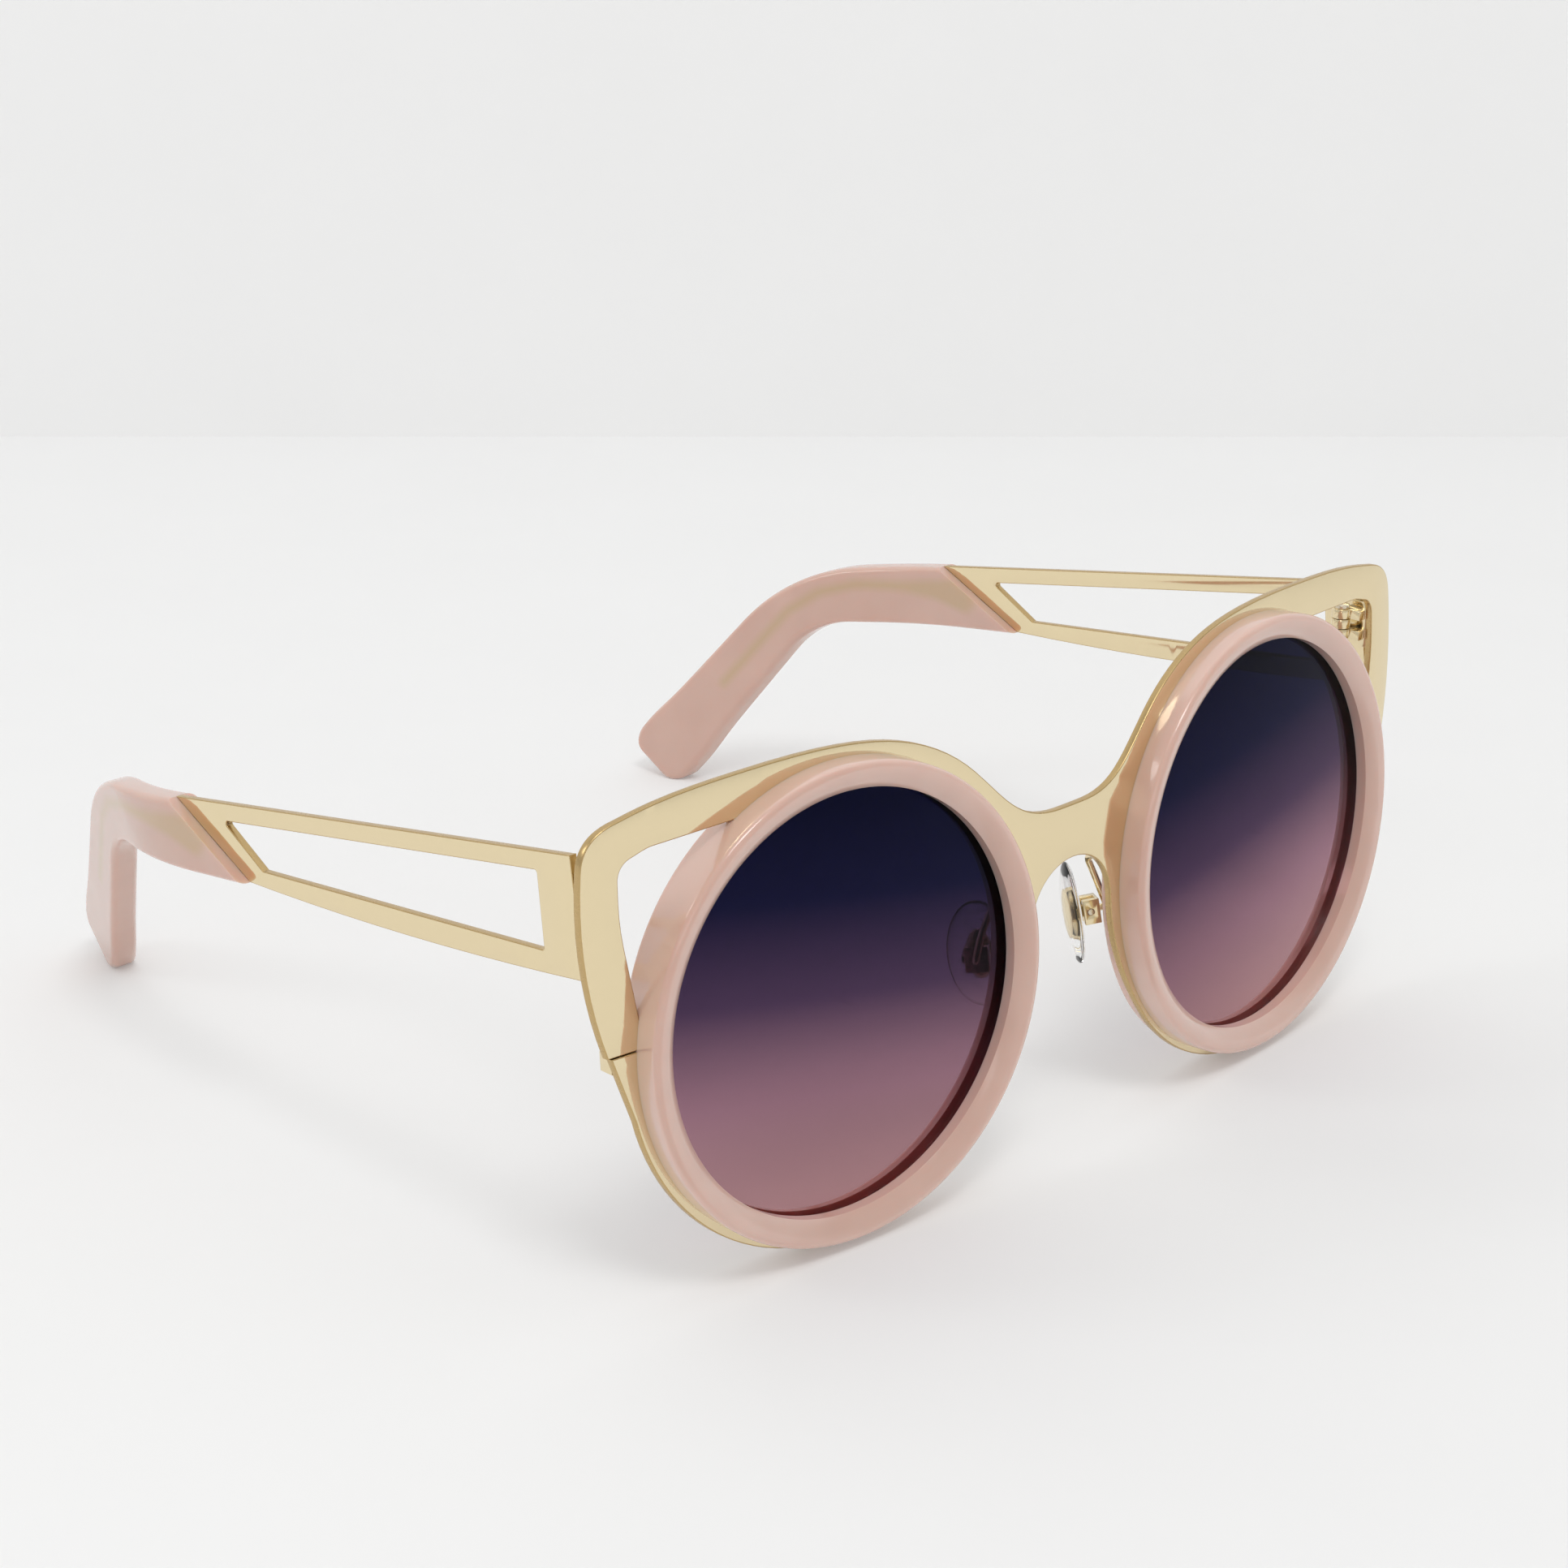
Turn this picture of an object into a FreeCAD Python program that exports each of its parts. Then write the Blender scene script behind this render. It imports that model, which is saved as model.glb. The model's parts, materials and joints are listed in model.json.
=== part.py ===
import FreeCAD, Part
import math
import os
from FreeCAD import Placement, Rotation, Vector

# Cat eye sunglasses. X runs across the face (the wearer's left is +X), Y runs back along the
# temples and Z is up. The glasses stand open on their rims and temple tips at Z = 0, and the
# origin is the middle of that footprint. Millimetres and degrees.

DIMENSIONS = {
    # where things stand
    "setback": 66.4,             # from the lens openings' plane back to the origin
    "hoop_height": 30.34,        # centre of each lens above the ground
    "half_spacing": 38.62,       # middle of the bridge to each lens centre
    "wrap": 5.03,                # each rim turns back by this much
    "lean": 3.15,                # the whole front leans back by this much
    # acetate rim rings: depths are behind the front edge of the lens opening
    "opening_radius": 26.0,
    "ring_radius": 29.35,
    "ring_crest": 1.1,
    "ring_depth": 5.4,
    # front plate
    "plate_depth": 2.4,
    "plate_thickness": 1.0,
    "hoop_radius": 30.2,
    "hoop_bore": 28.0,
    "groove_clearance": 0.05,
    "bridge_half": 8.5,
    "arch_radius": 7.3,
    "end_start": 66.5,
    "end_sweep": 90.0,
    "seam_height": 2.25,
    "seam_gap": 0.15,
    # lenses
    "lens_radius": 27.0,
    "lens_curve": 260.0,
    "lens_thickness": 2.0,
    "lens_recess": 0.35,
    # temples: local Y starts at the temple's own origin just behind the front
    "temple_half": 72.3,
    "temple_start": 7.5,
    "temple_toe": 0.71,
    "temple_thickness": 1.0,
    "window_corner": 0.4,
    # acetate tips
    "tip_thickness": 4.0,
    "tip_bend": 18.0,
    "tip_bend_start": 47.8,
    "tip_bend_radius": 50.0,
    "tip_bend_tilt": 30.0,
    "wire_width": 1.4,
    "wire_thickness": 1.0,
    # temple hinges
    "hinge_half": 67.9,
    "hinge_back": 10.6,
    "hinge_height": 50.5,
    "knuckle_radius": 1.35,
    "knuckle_bore": 0.6,
    "knuckle_tall": 1.3,
    "knuckle_gap": 0.1,
    "hinge_shank": 0.55,
    # rim locks
    "lock_bore": 0.52,
    "lock_shank": 0.5,
    # nose pads
    "pad_splay": 35.0,
    "pad_tilt": 8.0,
    "pad_rake": 8.0,
    "pad_tall": 13.4,
    "pad_wide": 8.2,
    "pad_thickness": 1.9,
    "arm_radius": 0.45,
    "pad_bore": 0.45,
    "pad_shank": 0.4,
}

doc = FreeCAD.newDocument("sunglasses")
sheet = doc.addObject("Spreadsheet::Sheet", "dims")
for row, (name, size) in enumerate(DIMENSIONS.items(), start=1):
    sheet.set("A%d" % row, name)
    sheet.set("B%d" % row, str(size))
    sheet.setAlias("B%d" % row, name)
doc.recompute()


def dim(name):
    """A driving dimension, read from the sheet."""
    return float(sheet.get(name))


NODES = []


def node(part, label):
    """Give a finished sub-part its name and remember it."""
    part.Label = label
    NODES.append(part)
    return part


# ---- frames -------------------------------------------------------------------------------

LEAN = Rotation(Vector(1, 0, 0), -dim("lean"))
FRONT = Placement(Vector(0, -dim("setback"), dim("hoop_height")), LEAN)
RIM = FRONT.multiply(Placement(Vector(dim("half_spacing"), 0, 0),
                               Rotation(Vector(0, 0, 1), dim("wrap"))))
TEMPLE = Placement(Vector(dim("temple_half"), dim("temple_start") - dim("setback"), 0),
                   Rotation(Vector(0, 0, 1), dim("temple_toe")))


# ---- drawing helpers ----------------------------------------------------------------------

def polygon(points):
    """Straight edges joining 2D points into a closed outline."""
    corners = [Vector(x, y, 0) for x, y in points]
    return [Part.LineSegment(a, b) for a, b in zip(corners, corners[1:] + corners[:1])]


def rounded(points, radii):
    """A closed outline with each corner rounded by its own radius."""
    count = len(points)
    corners = [Vector(x, y, 0) for x, y in points]
    starts, ends, middles = [], [], []
    for index in range(count):
        corner = corners[index]
        before = (corners[index - 1] - corner).normalize()
        after = (corners[(index + 1) % count] - corner).normalize()
        half = before.getAngle(after) / 2
        reach = radii[index] / math.tan(half)
        starts.append(corner + before * reach)
        ends.append(corner + after * reach)
        inward = (before + after).normalize()
        middles.append(corner + inward * (radii[index] / math.sin(half) - radii[index]))
    edges = []
    for index in range(count):
        if radii[index] > 0:
            edges.append(Part.Arc(starts[index], middles[index], ends[index]))
        edges.append(Part.LineSegment(ends[index], starts[(index + 1) % count]))
    return edges


def frame_body(name, placement):
    body = doc.addObject("PartDesign::Body", name)
    body.Placement = placement
    return body


def sketch_on(body, role, edges, offset=Placement()):
    """A sketch of closed outlines on one of the body's own origin planes."""
    sketch = body.newObject("Sketcher::SketchObject", body.Name + "_sketch")
    plane = [f for f in body.Origin.OriginFeatures if f.Role == role][0]
    sketch.AttachmentSupport = (plane, [""])
    sketch.MapMode = "FlatFace"
    sketch.AttachmentOffset = offset
    for edge in edges:
        sketch.addGeometry(edge, False)
    doc.recompute()
    return sketch


def feature(body, kind, sketch, settings, bindings=()):
    """A PartDesign feature on a sketch, with its sizes bound to the sheet."""
    made = body.newObject("PartDesign::" + kind, body.Name + "_" + kind.lower())
    made.Profile = sketch
    for key, setting in settings.items():
        setattr(made, key, setting)
    for key, formula in bindings:
        made.setExpression(key, formula)
    doc.recompute()
    return made


def pad(body, sketch, formula, **settings):
    return feature(body, "Pad", sketch, settings, [("Length", formula)])


def pocket(body, sketch, **settings):
    return feature(body, "Pocket", sketch, dict({"Type": 1}, **settings))


def revolve(body, sketch):
    axis = (sketch, ["V_Axis"])
    return feature(body, "Revolution", sketch, {"ReferenceAxis": axis, "Angle": 360.0})


def turned(name, placement, outline):
    """A turned piece: an outline of radius and height, revolved about the local Y axis."""
    body = frame_body(name, placement)
    revolve(body, sketch_on(body, "XY_Plane", outline))
    return body


def shape_node(name, shape, placement=Placement()):
    """A sub-part made directly from a shape."""
    made = doc.addObject("Part::Feature", name)
    made.Shape = shape
    made.Placement = placement
    return made


def boolean(kind, name, base, tool):
    made = doc.addObject("Part::" + kind, name)
    made.Base = base
    made.Tool = tool
    doc.recompute()
    return made


def union(name, shapes):
    made = doc.addObject("Part::MultiFuse", name)
    made.Shapes = shapes
    made.Refine = True
    doc.recompute()
    return made


def box(name, placement, low, size, formulas=()):
    """A block with its low corner and size in a frame."""
    made = doc.addObject("Part::Box", name)
    made.Length, made.Width, made.Height = size
    for key, formula in formulas:
        made.setExpression(key, formula)
    made.Placement = placement.multiply(Placement(Vector(*low), Rotation()))
    return made


def cylinder(name, placement, base, axis, formula, tall):
    """A cylinder standing on base along axis, its radius bound to the sheet."""
    made = doc.addObject("Part::Cylinder", name)
    made.setExpression("Radius", formula)
    made.Height = tall
    turn = Rotation(Vector(0, 0, 1), Vector(*axis))
    made.Placement = placement.multiply(Placement(Vector(*base), turn))
    return made


# ---- front plate --------------------------------------------------------------------------

def plate_surface(half, extra):
    """Points of the plate's face, seen from above, at a depth behind the rims' own plane."""
    slope = math.radians(dim("wrap"))
    depth = (dim("plate_depth") + extra) / math.cos(slope)
    return (half - dim("half_spacing")) * math.tan(slope) + depth


def plate_face(extra):
    """The plate's face from above: an arched bridge, two flat rims and two swept ends."""
    slope = math.radians(dim("wrap"))
    near = dim("bridge_half")
    far = dim("end_start")
    sweep = dim("end_sweep") - extra
    arch = near / math.sin(slope)
    low = plate_surface(near, extra) - arch * (1 - math.cos(slope))
    turn = math.radians(5.5)
    centre_x = far - math.sin(slope) * sweep
    centre_y = plate_surface(far, extra) + math.cos(slope) * sweep

    def swept(angle):
        return Vector(centre_x + sweep * math.sin(angle), centre_y - sweep * math.cos(angle), 0)

    end = swept(slope + turn)
    middle = swept(slope + turn / 2)
    inner = Vector(near, plate_surface(near, extra), 0)
    outer = Vector(far, plate_surface(far, extra), 0)
    flip = lambda p: Vector(-p.x, p.y, 0)
    edges = [Part.Arc(flip(end), flip(middle), flip(outer)),
             Part.LineSegment(flip(outer), flip(inner)),
             Part.Arc(flip(inner), Vector(0, low, 0), inner),
             Part.LineSegment(inner, outer),
             Part.Arc(outer, middle, end)]
    return edges, flip(end), end


def spline(points, first=None, last=None):
    curve = Part.BSplineCurve()
    corners = [Vector(x, y, 0) for x, y in points]
    if first is None:
        curve.interpolate(corners)
    else:
        curve.interpolate(Points=corners, InitialTangent=Vector(*first, 0),
                          FinalTangent=Vector(*last, 0))
    return curve


# Right-hand half of the plate's outline, seen from the front with the lens centres at height 0.
BROW = [(0, 14.55), (4.6, 14.7), (8.4, 15.9), (12.6, 19.2), (17.2, 23.6), (25.0, 28.2),
        (38.6, 30.85), (52.3, 30.95), (61.5, 30.45), (68.3, 29.4)]
CORNER = [(68.3, 29.4), (72.0, 27.9), (73.6, 24.5)]
CHEEK = [(73.6, 24.5), (73.95, 18.0), (73.2, 9.5), (71.4, 2.25)]
STEP = 0.4
NOSE = [(10.6, -11.8), (8.1, -5.5), (7.3, 0.4)]


def plate_outline():
    """The closed outline of the plate: brow, corners, cheeks, hoops and the nose arch."""
    half = dim("half_spacing")
    hoop = dim("hoop_radius")
    start = math.radians(-12)
    finish = math.radians(-141)

    def hoop_point(angle):
        return (half + hoop * math.cos(angle), hoop * math.sin(angle))

    cheek_foot = (CHEEK[-1][0] - STEP, CHEEK[-1][1])
    hoop_start = hoop_point(start)
    hoop_middle = hoop_point((start + finish) / 2)
    hoop_end = hoop_point(finish)
    side = []
    side.append(lambda s: spline([(s * x, y) for x, y in CORNER],
                                 (s * 6.0, -0.9), (s * 0.6, -6.0)))
    side.append(lambda s: spline([(s * x, y) for x, y in CHEEK]))
    side.append(lambda s: polygon([(s * CHEEK[-1][0], CHEEK[-1][1]),
                                   (s * cheek_foot[0], cheek_foot[1])])[0])
    side.append(lambda s: spline([(s * cheek_foot[0], cheek_foot[1]), (s * 69.6, -2.0),
                                  (s * hoop_start[0], hoop_start[1])]))
    side.append(lambda s: Part.Arc(Vector(s * hoop_start[0], hoop_start[1], 0),
                                   Vector(s * hoop_middle[0], hoop_middle[1], 0),
                                   Vector(s * hoop_end[0], hoop_end[1], 0)))
    nose = [hoop_end] + NOSE
    side.append(lambda s: spline([(s * x, y) for x, y in nose]))
    edges = [spline([(-x, y) for x, y in reversed(BROW[1:])] + BROW)]
    for sign in (1, -1):
        edges += [draw(sign) for draw in side]
    foot = NOSE[-1][1]
    arch = dim("arch_radius")
    edges.append(Part.Arc(Vector(arch, foot, 0), Vector(0, foot + arch, 0),
                          Vector(-arch, foot, 0)))
    return edges


def corner_cutout(sign):
    """The opening between the plate's cat-eye corner and the rim ring."""
    points = [(51.0, 25.7), (64.5, 25.45), (68.75, 24.3), (68.9, 17.5), (66.8, 5.0),
              (61.0, 5.0), (52.0, 20.0)]
    radii = [0.5, 6.0, 2.4, 30.0, 0.5, 0.5, 0.5]
    return rounded([(sign * x, y) for x, y in points], radii)


def frame_of_sketch():
    """Big rectangle used round an outline, so that a pocket trims what lies outside it."""
    return polygon([(-90, -45), (90, -45), (90, 45), (-90, 45)])


def make_front_plate():
    body = frame_body("plate_body", FRONT)
    front, left, right = plate_face(0.0)
    back, back_left, back_right = plate_face(dim("plate_thickness"))
    sides = [Part.LineSegment(left, back_left), Part.LineSegment(right, back_right)]
    slab = pad(body, sketch_on(body, "XY_Plane", front + back + sides),
               "90 mm", Midplane=True)
    trim = sketch_on(body, "XZ_Plane", frame_of_sketch() + plate_outline())
    pocket(body, trim, Midplane=True)
    for sign in (1, -1):
        pocket(body, sketch_on(body, "XZ_Plane", corner_cutout(sign)), Midplane=True)
    tools = []
    for sign in (1, -1):
        rim = Placement(Vector(sign * dim("half_spacing"), 0, 0),
                        Rotation(Vector(0, 0, 1), sign * dim("wrap")))
        rim = FRONT.multiply(rim)
        tools.append(cylinder("hoop_bore_cut", rim, (0, -5, 0), (0, 1, 0),
                              "dims.hoop_bore", 20))
        low = (27.0 if sign > 0 else -37.0, 0, dim("seam_height") - dim("seam_gap") / 2)
        tools.append(box("seam_cut", rim, low, (10, 8, 1), [("Height", "dims.seam_gap")]))
    cut = boolean("Cut", "front_plate_cut", body, union("front_plate_tools", tools))
    return node(cut, "front_plate")


# ---- rim rings and lenses -----------------------------------------------------------------

def make_rim_ring():
    bore = dim("opening_radius")
    wall = dim("ring_radius")
    deep = dim("ring_depth")
    slack = dim("groove_clearance")
    lens_wall = dim("lens_radius") + 2 * slack
    lens_front, lens_back = 1.65, 3.85
    groove = dim("hoop_bore") - slack
    groove_front = dim("plate_depth") - slack
    groove_back = dim("plate_depth") + dim("plate_thickness") + slack
    crest = -dim("ring_crest")
    corners = [(bore, 0.2), (bore, lens_front), (lens_wall, lens_front),
               (lens_wall, lens_back), (bore, lens_back), (bore, 4.2), (bore + 0.9, deep),
               (wall - 0.65, deep)]
    tail = [(wall, deep - 0.65), (wall, groove_back), (groove, groove_back),
            (groove, groove_front), (wall, groove_front), (wall, crest + 0.8)]
    points = [Vector(x, y, 0) for x, y in corners]
    after = [Vector(x, y, 0) for x, y in tail]
    edges = [Part.LineSegment(a, b) for a, b in zip(points, points[1:])]
    edges.append(Part.Arc(points[-1], Vector(wall - 0.19, deep - 0.19, 0), after[0]))
    edges += [Part.LineSegment(a, b) for a, b in zip(after, after[1:])]
    shoulder = Vector(wall - 0.8, crest, 0)
    edges.append(Part.Arc(after[-1], Vector(wall - 0.234, crest + 0.234, 0), shoulder))
    edges.append(Part.Arc(shoulder, Vector(bore + 1.15, crest + 0.4, 0), points[0]))
    return node(turned("rim_ring_body", RIM, edges), "left_rim_ring")


def make_lens():
    edge = dim("lens_radius")
    curve = dim("lens_curve")
    front = dim("lens_recess")
    back = front + dim("lens_thickness")

    def sag(radius):
        return curve - math.sqrt(curve ** 2 - radius ** 2)

    faces = []
    for depth in (front, back):
        faces.append(Part.Arc(Vector(0, depth, 0), Vector(edge / 2, depth + sag(edge / 2), 0),
                              Vector(edge, depth + sag(edge), 0)))
    rim = Part.LineSegment(Vector(edge, front + sag(edge), 0),
                           Vector(edge, back + sag(edge), 0))
    axis = Part.LineSegment(Vector(0, back, 0), Vector(0, front, 0))
    return node(turned("lens_body", RIM, faces + [rim, axis]), "left_lens")


# ---- temples ------------------------------------------------------------------------------

# Temple outline in its own frame: (distance back, height above the ground)
FRONT_TOP = (2.7, 55.6)
FRONT_FOOT = (0.7, 41.2)
REAR_TOP = (79.3, 41.5)
REAR_FOOT = (64.1, 34.3)
WINDOW = [(8.5, 52.2), (69.3, 41.0), (61.2, 36.6), (7.5, 42.9)]


def make_temple_plate():
    body = frame_body("temple_plate_body", TEMPLE)
    corner = [Vector(y, z, 0) for y, z in (FRONT_TOP, REAR_TOP, REAR_FOOT, FRONT_FOOT)]
    edges = [Part.LineSegment(corner[0], corner[1]), Part.LineSegment(corner[1], corner[2]),
             Part.Arc(corner[2], Vector(28.5, 37.4, 0), corner[3]),
             Part.LineSegment(corner[3], corner[0])]
    pad(body, sketch_on(body, "YZ_Plane", edges), "dims.temple_thickness", Reversed=True)
    window = rounded(WINDOW, [dim("window_corner")] * 4)
    pocket(body, sketch_on(body, "YZ_Plane", window), Midplane=True)
    return node(body, "left_temple_plate")


def bent_slab(name, formula):
    """A slab that follows the temple, then turns inward about a leaning axis."""
    body = frame_body(name, TEMPLE)
    turn = math.radians(dim("tip_bend"))
    radius = dim("tip_bend_radius")
    start = dim("tip_bend_start")
    middle = -dim("temple_thickness") / 2
    thick = dim(formula)
    run = 90.0

    def face(offset):
        bend = radius + offset
        centre = middle - radius
        points = [Vector(middle + offset, 0, 0), Vector(middle + offset, start, 0)]
        for share in (0.5, 1.0):
            angle = turn * share
            points.append(Vector(centre + bend * math.cos(angle),
                                 start + bend * math.sin(angle), 0))
        points.append(points[-1] + Vector(-math.sin(turn), math.cos(turn), 0) * run)
        return points

    outer = face(thick / 2)
    inner = face(-thick / 2)
    edges = []
    for points in (outer, inner):
        edges.append(Part.LineSegment(points[0], points[1]))
        edges.append(Part.Arc(points[1], points[2], points[3]))
        edges.append(Part.LineSegment(points[3], points[4]))
    edges.append(Part.LineSegment(outer[0], inner[0]))
    edges.append(Part.LineSegment(outer[4], inner[4]))
    tilt = Placement(Vector(0, 0, 0), Rotation(Vector(1, 0, 0), -dim("tip_bend_tilt")))
    pad(body, sketch_on(body, "XY_Plane", edges, tilt), "400 mm", Midplane=True)
    return body


# Tip outline in the temple's frame: the drop's back and front edges and its cut end
DROP_TOP = (105.9, 36.6)
END_BACK = (130.3, 5.0)
END_FRONT = (121.7, -1.33)
DROP_FOOT = (101.0, 29.2)


def trimmed(body, outline):
    """Keep only what lies inside an outline seen from the side."""
    frame = polygon([(-200, -400), (400, -400), (400, 400), (-200, 400)])
    pocket(body, sketch_on(body, "YZ_Plane", frame + outline), Midplane=True)
    return body


def make_temple_tip(wire):
    corners = [REAR_TOP, DROP_TOP, END_BACK, END_FRONT, DROP_FOOT, REAR_FOOT]
    radii = [0.0, 30.0, 3.2, 3.2, 15.0, 0.0]
    body = bent_slab("temple_tip_body", "tip_thickness")
    trimmed(body, rounded(corners, radii))
    return node(boolean("Cut", "temple_tip_cut", body, wire), "left_temple_tip")


def make_core_wire(plate):
    """A flat wire: a wide brazed head that tapers into a strip along the tip's middle."""
    half = dim("wire_width") / 2
    head_high = (76.0, 39.95)
    head_low = (68.7, 36.5)
    neck = Vector(88.0, 36.6, 0)
    bend = Vector(103.6, 33.0, 0)
    foot = Vector(114.6, 17.3, 0)

    def side(sign):
        first = (bend - neck).normalize()
        second = (foot - bend).normalize()
        normal_one = Vector(-first.y, first.x, 0) * (sign * half)
        normal_two = Vector(-second.y, second.x, 0) * (sign * half)
        half_turn = first.getAngle(second) / 2
        corner_shift = (normal_one + normal_two).normalize() * half
        corner = bend + corner_shift * (1 / math.cos(half_turn))
        return [(neck + normal_one), corner, (foot + normal_two)]

    upper = side(1)
    lower = side(-1)
    points = [head_high] + [(p.x, p.y) for p in upper]
    points += [(p.x, p.y) for p in reversed(lower)] + [head_low]
    radii = [0, 4.0, 12.0, 0.3, 0.3, 10.6, 4.0, 0]
    body = trimmed(bent_slab("core_wire_body", "wire_thickness"), rounded(points, radii))
    return body, node(boolean("Cut", "core_wire_seated", body, plate), "left_core_wire")


# ---- temple hinges ------------------------------------------------------------------------

HINGE = Placement(Vector(dim("hinge_half"), dim("hinge_back") - dim("setback"),
                         dim("hinge_height")), Rotation())


def knuckle(name, low):
    """One bored barrel of a hinge, standing at a height in the hinge's frame."""
    barrel = cylinder(name, HINGE, (0, 0, low), (0, 0, 1), "dims.knuckle_radius", 1)
    barrel.setExpression("Height", "dims.knuckle_tall")
    return barrel


def make_front_hinge_leaf(plate):
    tall = dim("knuckle_tall")
    gap = dim("knuckle_gap")
    lows = [-1.5 * tall - gap, 0.5 * tall + gap]
    pieces = []
    for low in lows:
        pieces.append(knuckle("front_knuckle", low))
        lug = box("front_lug", HINGE, (0, -3.0, low), (2.3, 3.0, tall),
                  [("Height", "dims.knuckle_tall")])
        pieces.append(lug)
    pieces.append(box("front_leaf_foot", HINGE, (1.0, -3.7, -3.1), (2.1, 1.2, 6.2)))
    bore = cylinder("front_leaf_bore", HINGE, (0, 0, -6), (0, 0, 1), "dims.knuckle_bore", 12)
    solid = boolean("Cut", "front_leaf_bored", union("front_leaf_union", pieces), bore)
    return node(boolean("Cut", "front_leaf_seated", solid, plate), "left_front_hinge_leaf")


def make_temple_hinge_leaf():
    tall = dim("knuckle_tall")
    foot = box("temple_leaf_foot", TEMPLE, (-1.9, 1.6, dim("hinge_height") - 3.0),
               (0.9, 5.6, 5.6))
    pieces = [knuckle("temple_knuckle", -tall / 2),
              box("temple_lug", HINGE, (0, -1.2, -tall / 2), (2.6, 2.4, tall),
                  [("Height", "dims.knuckle_tall")]),
              foot]
    bore = cylinder("temple_leaf_bore", HINGE, (0, 0, -6), (0, 0, 1),
                    "dims.knuckle_bore", 12)
    return node(boolean("Cut", "temple_leaf_bored", union("temple_leaf_union", pieces), bore),
                "left_temple_hinge_leaf")


def screw(name, placement, shank, length, head, head_tall, label):
    """A turned screw whose local Y runs from its foot up to a slotted head."""
    outline = polygon([(0, 0), (shank, 0), (shank, length), (head, length),
                       (head, length + head_tall), (0, length + head_tall)])
    body = turned(name, placement, outline)
    slot_deep = head_tall * 0.55
    slot = polygon([(-0.14, length + head_tall - slot_deep), (0.14, length + head_tall - slot_deep),
                    (0.14, length + head_tall + 1), (-0.14, length + head_tall + 1)])
    pocket(body, sketch_on(body, "XY_Plane", slot), Midplane=True)
    return node(body, label)


def standing(placement, base, axis):
    """A frame whose Y axis points along axis from base."""
    return placement.multiply(Placement(Vector(*base), Rotation(Vector(0, 1, 0), Vector(*axis))))


def make_hinge_screw():
    tall = 3 * dim("knuckle_tall") + 2 * dim("knuckle_gap")
    frame = standing(HINGE, (0, 0, -tall / 2), (0, 0, 1))
    return screw("hinge_screw_body", frame, dim("hinge_shank"), tall, 1.05, 0.5,
                 "left_hinge_screw")


# ---- rim locks ----------------------------------------------------------------------------

LOCK_OUT = 30.95
LOCK_TALL = 2.3
LOCK_DEEP = 2.2


def lock_block(label, low, plate):
    """One of the two blocks that a screw pulls together behind the seam."""
    back = dim("plate_depth") + dim("plate_thickness")
    block = box(label + "_block", RIM, (LOCK_OUT - 1.15, back, low), (2.3, LOCK_DEEP, LOCK_TALL))
    bore = cylinder(label + "_bore", RIM, (LOCK_OUT, back + LOCK_DEEP / 2, low - 1), (0, 0, 1),
                    "dims.lock_bore", LOCK_TALL + 2)
    bored = boolean("Cut", label + "_bored", block, bore)
    return node(boolean("Cut", label + "_seated", bored, plate), label)


def make_rim_lock(plate):
    seam = dim("seam_height")
    gap = dim("seam_gap") / 2
    back = dim("plate_depth") + dim("plate_thickness")
    lock_block("left_rim_lock_upper", seam + gap, plate)
    lock_block("left_rim_lock_lower", seam - gap - LOCK_TALL, plate)
    length = 2 * LOCK_TALL + 2 * gap
    frame = standing(RIM, (LOCK_OUT, back + LOCK_DEEP / 2, seam - gap - LOCK_TALL), (0, 0, 1))
    screw("rim_lock_screw_body", frame, dim("lock_shank"), length, 0.85, 0.45,
          "left_rim_lock_screw")


# ---- nose pads ----------------------------------------------------------------------------

# The pad's frame: X along its width going back, Y out of its nose side, Z up its length
PAD_CENTRE = Vector(9.0, 7.2 - dim("setback"), 25.8)
PAD = Placement(PAD_CENTRE, Rotation(Vector(0, 0, 1), 90 - dim("pad_splay")))
PAD = PAD.multiply(Placement(Vector(0, 0, 0), Rotation(Vector(1, 0, 0), -dim("pad_tilt"))))
PAD = PAD.multiply(Placement(Vector(0, 0, 0), Rotation(Vector(0, 1, 0), dim("pad_rake"))))
PAD_PIVOT = -2.1
TAB_WIDE = 1.0
BOX_WIDE = 3.0
BOX_TALL = 3.2
BOX_FRONT = -1.2
BOX_BACK = -3.3


def make_pad_insert():
    """A small oval plate moulded into the pad, with an eye that stands out of its back."""
    oval = doc.addObject("Part::Ellipsoid", "insert_oval")
    oval.Angle1, oval.Angle2, oval.Angle3 = -90, 90, 360
    oval.Radius1, oval.Radius2, oval.Radius3 = 0.4, 1.7, 3.2
    turn = Placement(Vector(0, -0.15, 0), Rotation(Vector(1, 0, 0), -90))
    oval.Placement = PAD.multiply(turn)
    low = (-TAB_WIDE / 2, PAD_PIVOT, -0.7)
    tab = box("insert_tab", PAD, low, (TAB_WIDE, -PAD_PIVOT - 0.2, 1.4))
    eye = cylinder("insert_eye", PAD, (-TAB_WIDE / 2, PAD_PIVOT, 0), (1, 0, 0), "0.7 mm", TAB_WIDE)
    bore = cylinder("insert_bore", PAD, (-3, PAD_PIVOT, 0), (1, 0, 0), "dims.pad_bore", 6)
    solid = union("insert_union", [oval, tab, eye])
    return node(boolean("Cut", "insert_bored", solid, bore), "left_pad_insert")


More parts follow.
